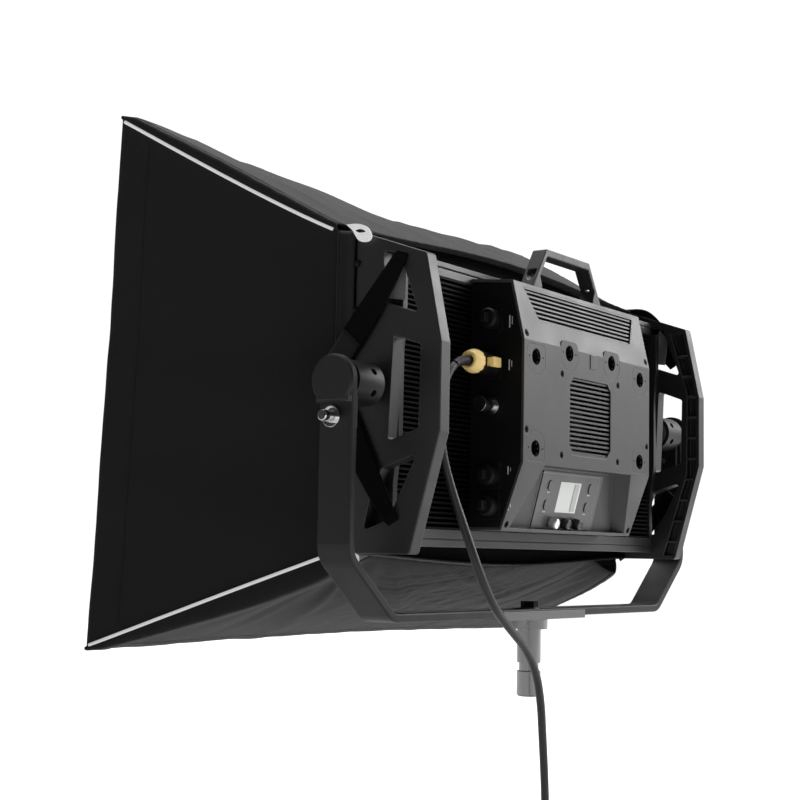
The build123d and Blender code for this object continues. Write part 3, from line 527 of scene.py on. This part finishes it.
def make_lead():
    points = lead_points()
    lead = tube("power_lead", points, LEAD_R, LEAD_RUBBER, sides=16)
    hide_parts("lead_upper_run", "lead_hanging_run", "lead_coil")

    # Strain relief: a tapered sleeve round the lead where it leaves the plug's collar.
    relief_points, gone = [points[0]], 0.0
    for before, after in zip(points, points[1:]):
        gone += (after - before).length
        relief_points.append(after)
        if gone > 0.044:
            break
    wide, thin = 6.0 * MM, LEAD_R + 0.5 * MM

    def relief_radius(share):
        taper = wide + (thin - wide) * share
        return taper - (0.6 * MM if int(share * 22) % 2 and 0.35 < share < 0.95 else 0.0)

    relief = tube("lead_strain_relief", relief_points, relief_radius, CONNECTOR_BLACK, sides=20)
    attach(relief, "head")

    # A hook-and-loop tie holds the turns at the top of the coil.
    bm = bmesh.new()
    place = along_x(COIL_CENTRE.x, COIL_CENTRE.y, COIL_CENTRE.z + COIL_R)
    inside, outside, half_wide, steps = COIL_LAY + LEAD_R + 0.2 * MM, COIL_LAY + LEAD_R + 1.6 * MM, 9 * MM, 36
    profile = [(inside, -half_wide), (outside, -half_wide), (outside, half_wide), (inside, half_wide)]
    rings = []
    for k in range(steps):
        t = 2 * pi * k / steps
        bulge = 1 + 0.03 * cos(6 * t)
        rings.append([bm.verts.new(place @ Vector((r * bulge * cos(t), r * bulge * sin(t), h)))
                      for r, h in profile])
    for k in range(steps):
        a, b = rings[k], rings[(k + 1) % steps]
        for j in range(4):
            bm.faces.new((a[j], a[(j + 1) % 4], b[(j + 1) % 4], b[j]))
    tie = from_bmesh("lead_tie", bm, WEBBING, smooth=False)
    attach(tie, "yoke")

    boot = tube("mains_plug_boot", [PLUG_TOP + Vector((0, 0, z * MM)) for z in (-2, 2, 6, 10, 14, 18, 22)],
                lambda share: (7.2 - 2.1 * share) * MM, CONNECTOR_BLACK, sides=20)
    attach(boot, "yoke")
    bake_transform(lead)
    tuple(points[0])


# ---------------------------------------------------------------- softbox
def rib(sx, sz, t):
    """A point on the piped seam at one corner, t from the collar (0) to the mouth (1)."""
    rear = Vector((sx * REAR_HALF, REAR_Y, REAR_Z[0] if sz < 0 else REAR_Z[1]))
    mouth = Vector((sx * MOUTH_HALF, *MOUTH_Z[sz]))
    if sx < 0 < sz:
        mouth.z -= 15 * MM                       # the far upper corner hangs a little lower
    dip = (-4.0 if sz > 0 else 0.8) * MM * sin(pi * t ** 0.7)
    return rear.lerp(mouth, t) + Vector((0, 0, dip))


def pocket_height(sz, t):
    """How far the rib's pocket stands between the piping and the roof or floor panel."""
    tip = 1 - 0.5 * max(0.0, (t - 0.95) / 0.05)
    if sz > 0:
        return (8 + 6 * sin(pi * t) + 2 * t ** 6) * tip * MM
    return (18 * (1 - t) + 8 * sin(pi * t ** 0.6) + 6 * t) * tip * MM


def panel(kind):
    """The two ribs that a panel spans, and its outward direction."""
    if kind in ("right", "left"):
        s = 1 if kind == "right" else -1
        return (s, -1), (s, 1), Vector((s, 0.45, 0)).normalized()
    s = 1 if kind == "top" else -1
    return (-1, s), (1, s), Vector((0, 0.55, s)).normalized()


def panel_edges(kind, t):
    """Where a panel is sewn at t, on its two sides."""
    low, high, _ = panel(kind)
    a, b = rib(*low, t), rib(*high, t)
    if kind in ("top", "bottom"):
        s = low[1]
        lift = Vector((0, 0, s * pocket_height(s, t)))
        inward = Vector((7 * MM, 0, 0))
        return a + lift + inward, b + lift - inward
    return a, b


def soft_folds(kind, across, t, spare, span):
    """Height of the long soft folds, in metres."""
    if kind in ("right", "left"):
        seed = 4.0 if kind == "right" else 7.0
        slant = (across - 0.25) / 0.09 - 1.6 * t
        broad = noise.noise(Vector((across / 0.17 + 0.5 * t, t * 1.3, seed)))
        diagonal = noise.noise(Vector((slant, t * 1.1 + across, seed + 9)))
        ripple = noise.noise(Vector((across / 0.035 + 2.0 * t, t * 3.5, seed + 3)))
        return (5.0 * broad + 4.5 * diagonal + 1.2 * ripple * (0.3 + t)) * MM * spare ** 0.5
    if kind == "top":
        long_fold = noise.noise(Vector((across / 0.16 + 1.3 * t, t * 2.2, 2.0)))
        crease = abs(noise.noise(Vector((across / 0.10 - 2.6 * t, t * 0.8, 12.0))))
        fine = noise.noise(Vector((across / 0.04 - 3.0 * t, t * 2.0, 21.0)))
        return (5.0 * long_fold - 8.0 * crease + 1.4 * fine + 2.0) * MM * spare ** 0.4
    # The floor panel's folds fan out from its two rear corners, and smaller creases cross them.
    height = 0.0
    for reach, weight in ((across, 0.8), (span - across, 1.0)):
        angle = reach / (0.06 + t * 0.27)
        ridge = noise.noise(Vector((angle * 3.0, weight * 3, 1.0)))
        ridge += 0.6 * noise.noise(Vector((angle * 7, 3, 8)))
        height += weight * ridge * 8.0 * MM * max(0.0, 1 - reach / 0.62)
    crossing = abs(noise.noise(Vector((across / 0.12 + 1.7 * t, t * 1.6 - across * 3, 31.0))))
    height -= 5.0 * MM * crossing
    fine = noise.noise(Vector((across / 0.028 - 4.0 * t, t * 2.5, 41.0)))
    height += 1.6 * MM * fine
    return height * spare ** 0.35 * (0.35 + 0.65 * sin(pi * min(1.0, 0.15 + t)))


def panel_point(kind, t, w):
    _, _, out = panel(kind)
    a, b = panel_edges(kind, t)
    span = (b - a).length
    across = w * span
    spare = max(0.0, 4 * w * (1 - w))
    arch = sin(pi * w) ** 1.5 if 0 < w < 1 else 0.0
    place = a.lerp(b, w)
    if kind == "top":
        place.z += (8 * (1 - t) ** 2 - 21 * t ** 2) * MM * arch
    elif kind == "bottom":
        near_edge = min(1.0, min(w, 1 - w) * span / 0.08)
        tucked = 22 * near_edge ** 2 * (3 - 2 * near_edge) - 13 * arch
        place.z += (tucked * (1 - t) ** 3 + 5 * t ** 2 * arch) * MM
    else:
        place -= out * 4 * MM * arch * t
    # Towards the mouth the roof and floor panels lean over a little more.
    belly = {"top": 3, "bottom": 3, "right": 0, "left": 0}[kind] * MM * sin(pi * t) * spare ** 0.5
    edge = min(w, 1 - w) * span
    held = min(1.0, edge / 0.05) * min(1.0, 0.15 + t / 0.25)
    drop = soft_folds(kind, across, t, spare, span) * held + belly
    drop += 1.2 * MM * held * noise.noise(Vector((across / 0.014, t * 2.0, 5.0))) * max(0.0, 1 - t / 0.3) ** 2
    hem = 0.25 * MM if t > HEM_T else 0.0
    crease = -0.35 * MM * max(0.0, 1 - abs(t - HEM_T) / 0.012)
    return place + out * (drop + hem + crease)


def thicken(piece, thickness, offset=-1.0):
    solid = piece.modifiers.new("thickness", "SOLIDIFY")
    solid.thickness = thickness
    solid.offset = offset
    return piece


def stitches(name, points, material, body, length=3.2 * MM, gap=1.8 * MM, width=0.55 * MM):
    """A row of thread stitches along a line of (point, outward) pairs."""
    bm = bmesh.new()
    start, walked, drawn = None, 0.0, False
    for (before, out), (after, _) in zip(points, points[1:]):
        step = (after - before).length
        if not drawn and walked >= gap:
            start, walked, drawn = before, 0.0, True
        elif drawn and walked >= length:
            along = (before - start).normalized()
            tube_into(bm, [start, start + along * 0.3 * length + out * 0.35 * MM,
                           before - along * 0.3 * length + out * 0.35 * MM, before], width / 2, 5)
            walked, drawn = 0.0, False
        walked += step
    piece = from_bmesh(name, bm, material)
    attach(piece, body)
    return piece


def flat_size(kind):
    """Width, length and area of a panel's cut."""
    (a, b), (c, d) = panel_edges(kind, 0), panel_edges(kind, 1)
    rear, mouth = (a - b).length, (c - d).length
    tall = ((c + d) / 2 - (a + b) / 2).length
    return mouth, tall, (rear + mouth) / 2 * tall


def make_softbox():
    for kind in ("right", "left", "top", "bottom"):
        wide, tall, area = flat_size(kind)
        columns = 190 if kind in ("top", "bottom") else 140
        fabric = {"top": TOP_FABRIC, "bottom": UNDER_FABRIC}.get(kind, BOX_FABRIC)
        piece = grid("softbox_" + kind + "_panel", 70, columns, lambda t, w: panel_point(kind, t, w), fabric,
                     (tall, wide))
        thicken(piece, CLOTH)
        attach(piece, "head")

        out = panel(kind)[2]
        seam = [(panel_point(kind, HEM_T, i / 400) + out * 0.25 * MM, out) for i in range(6, 395)]
        hem_thread = stitches("softbox_" + kind + "_hem_stitches", seam, THREAD, "head")
    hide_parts("softbox_sides")
    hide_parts("softbox_sides")
    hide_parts("softbox_top")
    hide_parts("softbox_bottom")

    bm = bmesh.new()
    for sx in (-1, 1):
        for sz in (-1, 1):
            start = 0.02 if sz > 0 else 0.04
            line = []
            for i in range(121):
                t = start + (0.985 - start) * i / 120
                wobble = 0.4 * MM * noise.noise(Vector((t * 9, sx, sz)))
                outwards = Vector((sx, 0.2, -0.2 * sz)).normalized()
                line.append(rib(sx, sz, t) + outwards * (PIPING_OUT + wobble))
            tube_into(bm, line, PIPING_R, 8)
            pocket = make_pocket(sx, sz)
            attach(pocket, "head")
    piping = from_bmesh("softbox_piping", bm, PIPING)
    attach(piping, "head")

    make_collar()
    make_diffuser()
    make_straps()
    make_snaps_and_lining()
    make_tabs()


def make_pocket(sx, sz):
    """The sewn pocket that holds a rib: it bulges sideways above or below the piping, then turns over."""
    def point(t, b):
        foot = rib(sx, sz, t)
        tall = pocket_height(sz, t)
        shape = [(0.0, 0.0), (2.4, 0.30), (2.6, 0.70), (0.6, 0.99), (-4.0, 1.06), (-12.0, 1.05)]
        spots = [foot + Vector((sx * x * MM, 0, sz * tall * z)) for x, z in shape]
        i = min(int(b * (len(spots) - 1)), len(spots) - 2)
        share = b * (len(spots) - 1) - i
        p0, p3 = spots[max(i - 1, 0)], spots[min(i + 2, len(spots) - 1)]
        p1, p2 = spots[i], spots[i + 1]
        spot = 0.5 * ((2 * p1) + (p2 - p0) * share + (2 * p0 - 5 * p1 + 4 * p2 - p3) * share ** 2
                      + (3 * p1 - p0 - 3 * p2 + p3) * share ** 3)
        crumple = 0.7 * MM * noise.noise(Vector((t * 26, b * 2.0, 3 * sx + sz)))
        return spot + Vector((sx, 0, sz)).normalized() * crumple

    name = "softbox_rib_pocket_" + ("upper_" if sz > 0 else "lower_") + ("right" if sx > 0 else "left")
    pocket = grid(name, 110, 20, point, BOX_FABRIC, (0.27, 0.035))
    return thicken(pocket, CLOTH)


def round_loop(half, low, high, radius, steps=8):
    """Points of a rounded rectangle in x and z, with its outward direction at each."""
    loop = []
    corners = [(half - radius, low + radius, -90), (half - radius, high - radius, 0),
               (-half + radius, high - radius, 90), (-half + radius, low + radius, 180)]
    for cx, cz, start in corners:
        for k in range(steps + 1):
            angle = radians(start + 90 * k / steps)
            loop.append((cx + radius * cos(angle), cz + radius * sin(angle), cos(angle), sin(angle)))
    dense = []
    for (x0, z0, a0, b0), (x1, z1, a1, b1) in zip(loop, loop[1:] + loop[:1]):
        parts = max(1, int(sqrt((x1 - x0) ** 2 + (z1 - z0) ** 2) / 0.004))
        for k in range(parts):
            share = k / parts
            dense.append((x0 + (x1 - x0) * share, z0 + (z1 - z0) * share,
                          a0 + (a1 - a0) * share, b0 + (b1 - b0) * share))
    return dense


def make_collar():
    """An elastic sleeve that grips the light's front edge."""
    loop = round_loop(REAR_HALF, REAR_Z[0], REAR_Z[1], 6 * MM)
    loop.append(loop[0])
    rows = 16

    def point(a, b):
        x, z, ox, oz = loop[round(b * (len(loop) - 1))]
        y = REAR_Y + (COLLAR_Y - REAR_Y) * a
        elastic = 0.5 * MM * noise.noise(Vector((x / 0.009, z / 0.009, a * 1.2)))
        out = elastic + (0.8 * cos(2 * pi * a) - 1.0) * MM
        arch = max(0.0, cos(pi / 2 * x / REAR_HALF)) ** 1.5 * (1 - 0.1 * a)
        bow = (15 * arch if oz > 0 else 12 * arch - 3) * abs(oz) * MM
        seam = -0.8 * MM if abs(a - 0.12) < 0.04 else 0.0
        return Vector((x + ox * (out + seam), y, z + oz * (out + seam + bow)))

    ring = [point(0.5, k / len(loop)) for k in range(len(loop) + 1)]
    around = sum((b - a).length for a, b in zip(ring, ring[1:])) * 1.01

    def flap_point(a, b):
        x, z, _, _ = loop[round(b * (len(loop) - 1))]
        on_bezel = Vector((max(-BEZEL_HALF, min(BEZEL_HALF, x)), REAR_Y + 4 * MM,
                           max(BEZEL_Z[0], min(BEZEL_Z[1], z))))
        return point(0.1, b).lerp(on_bezel, a)

    # Its inner flap closes the gap round the light's front bezel.
    flap = grid("softbox_inner_flap", 6, len(loop) - 1, flap_point, WEBBING, (0.015, around))
    thicken(flap, 0.7 * MM)
    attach(flap, "head")
    deep = sum((point((k + 1) / rows, 0.1) - point(k / rows, 0.1)).length for k in range(rows))
    collar = grid("softbox_elastic_collar", rows, len(loop) - 1, point, BOX_FABRIC,
                  (REAR_Y - COLLAR_Y, around))
    thicken(collar, 1.2 * MM)
    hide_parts("softbox_collar")
    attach(collar, "head")


def make_diffuser():
    """White cloth across the mouth, set back behind the hem's lip, with a black border."""
    low_edge, high_edge = Vector((0, *MOUTH_Z[-1])), Vector((0, *MOUTH_Z[1]))
    up = (high_edge - low_edge).normalized()
    forward = Vector((-1, 0, 0)).cross(up)
    if forward.y > 0:
        forward = -forward
    tall = (high_edge - low_edge).length
    half = MOUTH_HALF - 0.021
    margin = 0.018

    def point(a, b):
        x = -half + 2 * half * a
        v = margin + (tall - 2 * margin) * b
        belly = 16 * (a * (1 - a) * b * (1 - b)) ** 0.8
        sag_edge = (17 * b - 6 * (1 - b)) * MM * 4 * a * (1 - a)    # high edge down 17, low edge up 6
        ripple = 0.8 * MM * noise.noise(Vector((x / 0.07, v / 0.07, 2.0)))
        centre = low_edge + up * (v - sag_edge) + Vector((x, 0, 0))
        return centre - forward * (LIP - 4 * MM * belly) + forward * ripple

    cloth = grid("softbox_diffuser_cloth", 110, 80, point, DIFFUSER, (2 * half, tall))
    thicken(cloth, 0.6 * MM)
    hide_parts("softbox_diffuser")
    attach(cloth, "head")

    def border(side):
        def edge_point(a, b):
            inward = 0.032 * b
            if side in ("low", "high"):
                base = inward if side == "low" else tall - 2 * margin - inward
                spot = point(a, base / (tall - 2 * margin))
            else:
                base = inward / (2 * half)
                spot = point(base if side == "left" else 1 - base, a)
            return spot + forward * 1.0 * MM
        return edge_point
    for side in ("low", "high", "left", "right"):
        strip = grid("diffuser_border_" + side, 90, 5, border(side), WEBBING, (2 * half, 0.032))
        thicken(strip, 0.8 * MM)
        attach(strip, "head")


def ribbon(name, spine, wides, thickness, material, columns=8):
    """A flat strap through the points of spine. wides are its half-width vectors."""
    count = len(spine)
    total = sum((b - a).length for a, b in zip(spine, spine[1:]))
    mesh_rows = count - 1

    def point(a, b):
        i = round(a * mesh_rows)
        across = 2 * b - 1
        return spine[i] + wides[i] * across

    piece = grid(name, mesh_rows, columns, point, material, (total, 2 * wides[0].length))
    thicken(piece, thickness, 0.0)
    return piece


def smooth_line(points, per=10):
    """A Catmull-Rom line through given points."""
    padded = [points[0] * 2 - points[1]] + points + [points[-1] * 2 - points[-2]]
    line = []
    for p0, p1, p2, p3 in zip(padded, padded[1:], padded[2:], padded[3:]):
        for k in range(per):
            t = k / per
            line.append(0.5 * ((2 * p1) + (p2 - p0) * t + (2 * p0 - 5 * p1 + 4 * p2 - p3) * t * t
                               + (3 * p1 - p0 - 3 * p2 + p3) * t ** 3))
    line.append(points[-1])
    return line


def make_straps():
    """Webbing that ties the softbox to the side frames' windows, two on each side."""
    runs = {"upper": [(0.322, 0.033, 0.402, 6), (0.3268, 0.031, 0.397, 8), (0.3285, 0.019, 0.377, 11),
                      (0.3290, -0.006, 0.343, 14), (0.3295, -0.030, 0.312, 15), (0.3290, -0.050, 0.288, 15)],
            "lower": [(0.322, 0.028, 0.116, 6), (0.3268, 0.024, 0.123, 8), (0.3285, 0.010, 0.146, 11),
                      (0.3290, -0.012, 0.184, 14), (0.3295, -0.032, 0.222, 15), (0.3290, -0.050, 0.254, 15)]}
    # On the far side both straps hang loose inside the frame.
    loose = {"upper": [(0.3270, -0.040, 0.424, 12), (0.3270, -0.010, 0.420, 13), (0.3260, 0.014, 0.394, 14),
                       (0.3245, 0.030, 0.370, 14), (0.3235, 0.041, 0.352, 10)],
             "lower": [(0.3285, -0.052, 0.092, 12), (0.3285, -0.028, 0.108, 12), (0.3270, -0.004, 0.132, 12),
                       (0.3250, 0.018, 0.156, 11), (0.3235, 0.034, 0.175, 9)]}
    for side, s in SIDES:
        for level, run in (runs if s > 0 else loose).items():
            spine = smooth_line([Vector((s * x, y, z)) for x, y, z, _ in run])
            halves = smooth_line([Vector((half, 0, 0)) for _, _, _, half in run])
            wides = []
            for before, after, half in zip(spine[:1] + spine[:-1], spine[1:] + spine[-1:], halves):
                ahead = (after - before).normalized()
                wides.append(ahead.cross(Vector((s, 0, 0))).normalized() * half.x * MM)
            strap = ribbon("softbox_strap_" + level + "_" + side, spine, wides, 1.1 * MM, WEBBING)
            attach(strap, "head")
            end = spine[-1]
            patch = [end + (spine[-12] - end) * k / 6 for k in range(7)]
            lift = Vector((s * 1.0 * MM, 0, 0))
            reinforcement = ribbon("strap_patch_" + level + "_" + side, [p + lift for p in patch],
                                   [wides[-1] * 0.92] * 7, 0.9 * MM, BOX_FABRIC)
            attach(reinforcement, "head")
    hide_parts("softbox_straps")


def make_snaps_and_lining():
    """Snaps that close the collar, and the pale lining flap in each side frame's upper window."""
    for side, s in SIDES:
        bm = bmesh.new()
        for y, z in ((-26.0, 394.0), (-27.0, 343.5)):
            place = along_x(s * 0.3263, y * MM, z * MM, s)
            lathe_into(bm, place, [(0.1 * MM, 2.2 * MM), (2.0 * MM, 2.1 * MM), (3.3 * MM, 1.4 * MM),
                                   (3.6 * MM, 0.2 * MM), (3.5 * MM, -0.8 * MM)], 28)
        snaps = from_bmesh("softbox_snaps_" + side, bm, SNAP)
        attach(snaps, "head")

        front = smooth_line([Vector((s * 0.3175, y * MM, z * MM)) for y, z in
                             ((19, 401), (12, 386), (5, 370), (1, 356))], 6)
        rear = smooth_line([Vector((s * (0.3155 + dx * MM), y * MM, z * MM)) for y, z, dx in
                            ((21, 401.5, 0), (29, 389, 2), (31, 376, 1), (29, 352, -1))], 6)

        def point(a, b):
            i = round(a * (len(front) - 1))
            bulge = Vector((s * 2.2 * MM * sin(pi * b) * sin(pi * a), 0, 0))
            return front[i].lerp(rear[i], b) + bulge
        flap = grid("softbox_lining_flap_" + side, len(front) - 1, 14, point, LINING, (0.05, 0.03))
        thicken(flap, 0.7 * MM)
        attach(flap, "head")


def make_tabs():
    """The white pull loop at each upper corner and the small white tab below it."""
    for side, s in SIDES:
        rim = [(-38.5, 436.5), (-27, 436.2), (-17, 433.8), (-9.5, 429), (-5.5, 421), (-8, 416.5),
               (-15, 415.8), (-22, 418), (-27, 424), (-31, 430)]
        hole = [(-28.5, 429.6), (-24, 430.6), (-19, 430.2), (-14.5, 428), (-13.5, 426.4), (-17, 425.6),
                (-22, 426), (-26, 427.6)]
        outer = smooth_line([Vector((0, y, z)) for y, z in rim + rim[:1]], 6)[:-1]
        inner = smooth_line([Vector((0, y, z)) for y, z in hole + hole[:1]], 6)[:-1]
        curve = bpy.data.curves.new("pull_loop", "CURVE")
        curve.dimensions = "2D"
        curve.fill_mode = "BOTH"
        curve.extrude = 0.55 * MM
        curve.bevel_depth = 0.25 * MM
        for loop in (outer, inner):
            spline = curve.splines.new("POLY")
            spline.points.add(len(loop) - 1)
            spline.use_cyclic_u = True
            for spot, p in zip(spline.points, loop):
                spot.co = (p.y * MM, p.z * MM, 0, 1)
        flat = bpy.data.objects.new("pull_loop", curve)
        bpy.context.scene.collection.objects.link(flat)
        mesh = bpy.data.meshes.new_from_object(flat)
        bpy.data.objects.remove(flat)
        mesh.transform(Matrix(((0, 0, 1, s * 0.3292), (1, 0, 0, 0), (0, 1, 0, 0), (0, 0, 0, 1))))
        pull = link("softbox_pull_loop_" + side, mesh, PIPING, smooth=False)
        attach(pull, "head")
        if s > 0:
            tab = ribbon("softbox_hem_tab",
                         [Vector((0.3275, -0.022 + k * 0.0012, 0.0835 - 0.0006 * k)) for k in range(7)],
                         [Vector((0.4 * MM, 0, 4.2 * MM))] * 7, 0.9 * MM, PIPING, 4)
            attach(tab, "head")


# ---------------------------------------------------------------- labels and controls
def make_markings():
    """Generic label bars: no lettering."""
    cover_x = 0.1561
    turn = Matrix(((0, 0, 1, 0), (1, 0, 0, 0), (0, 1, 0, 0), (0, 0, 0, 1)))
    side = Matrix.Translation((cover_x, 0, 0)) @ turn
    bars = []
    for z, tall in ((0.348, 14), (0.299, 12), (0.181, 9), (0.141, 9)):
        bars += [(0.0618, z, 1.5 * MM, tall * MM), (0.0650, z + 0.001, 0.7 * MM, (tall - 5) * MM)]
    labels = blocks("side_label_bars", side, bars, -0.6 * MM, 0.12 * MM, PRINT_WHITE)
    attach(labels, "head")


def dress_controls():
    normal = Vector(joints["dimmer_turn"]["axis"])
    knob_at = Vector(joints["dimmer_turn"]["pos_m"])
    panel_place = face_place(knob_at, normal)            # origin: the middle knob's foot
    middle, half, low, high, line = -3 * MM, 71 * MM, -7 * MM, 58 * MM, 0.5 * MM
    rims = [(middle, high, 2 * half, line), (middle - half, (low + high) / 2, line, high - low),
            (middle + half, (low + high) / 2, line, high - low)]
    outline = blocks("panel_outline", panel_place, rims, -0.05 * MM, 0.1 * MM, PRINT_GREY)
    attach(outline, "head")
    ticks = []
    for u in (-49.2, 49.2):
        for v in (32.0 - 11.5, 55.5 - 11.5):
            ticks += [(u * MM, (v - 8.6) * MM, 6 * MM, 1.0 * MM)]
    for u in (-28, 0, 28):
        ticks += [((u + 9.6) * MM, -1 * MM, 0.8 * MM, 3.5 * MM)]
    marks = blocks("panel_ticks", panel_place, ticks, -0.05 * MM, 0.1 * MM, PRINT_WHITE)
    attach(marks, "head")
    screen = [(15.5 * MM, 30.7 * MM, 10 * MM, 33 * MM)]
    shade = blocks("screen_side_field", panel_place, screen, 0.55 * MM, 0.75 * MM, SCREEN_SHADE)
    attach(shade, "head")


def make_knobs():
    for joint_name, material, slot_name, ribs in (("select_turn", KNOB_SILVER, "knob_silver", 2),
                                                  ("dimmer_turn", KNOB_BLACK, "knob_black", 3),
                                                  ("colour_turn", KNOB_BLACK, "knob_black", 3)):
        joint = joints[joint_name]
        name = joint["child"]
        bm = bmesh.new()
        profile = [(5.6 * MM, 0.6 * MM), (6.1 * MM, 1.2 * MM), (6.5 * MM, 1.8 * MM), (6.45 * MM, 8.8 * MM),
                   (5.9 * MM, 9.8 * MM), (5.3 * MM, 10.4 * MM), (4.6 * MM, 10.6 * MM), (4.2 * MM, 10.2 * MM),
                   (0.5 * MM, 10.1 * MM)]
        lathe_into(bm, face_place(joint["pos_m"], joint["axis"]), profile, 72, (6.2 * MM, ribs), 0.35 * MM)
        knob = from_bmesh(name + "_knurled", bm, material, smooth=False)
        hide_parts(name)
        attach(knob, name)


def make_power_plug_details():
    low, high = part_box("plug_collar")
    middle_y, middle_z = (low.y + high.y) / 2, (low.z + high.z) / 2
    place = along_x(low.x, middle_y, middle_z)
    long = high.x - low.x
    outer = (high.z - low.z) / 2
    profile = [(outer * 0.80, 0), (outer * 0.97, 0.05 * long), (outer, 0.18 * long), (outer, 0.45 * long),
               (outer * 0.93, 0.62 * long), (outer * 0.84, 0.80 * long), (outer * 0.78, 0.93 * long),
               (outer * 0.70, long), (outer * 0.52, long), (outer * 0.50, 0.86 * long)]
    bm = bmesh.new()
    lathe_into(bm, place, profile, 60, (outer * 0.955, 5), 0.9 * MM)
    collar = from_bmesh("plug_collar_gold", bm, GOLD)
    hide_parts("plug_collar")
    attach(collar, "head")


# ---------------------------------------------------------------- make everything
make_camera()
make_lead()
make_studio()
dress_frame()
make_softbox()
make_markings()
dress_controls()
make_knobs()
make_power_plug_details()
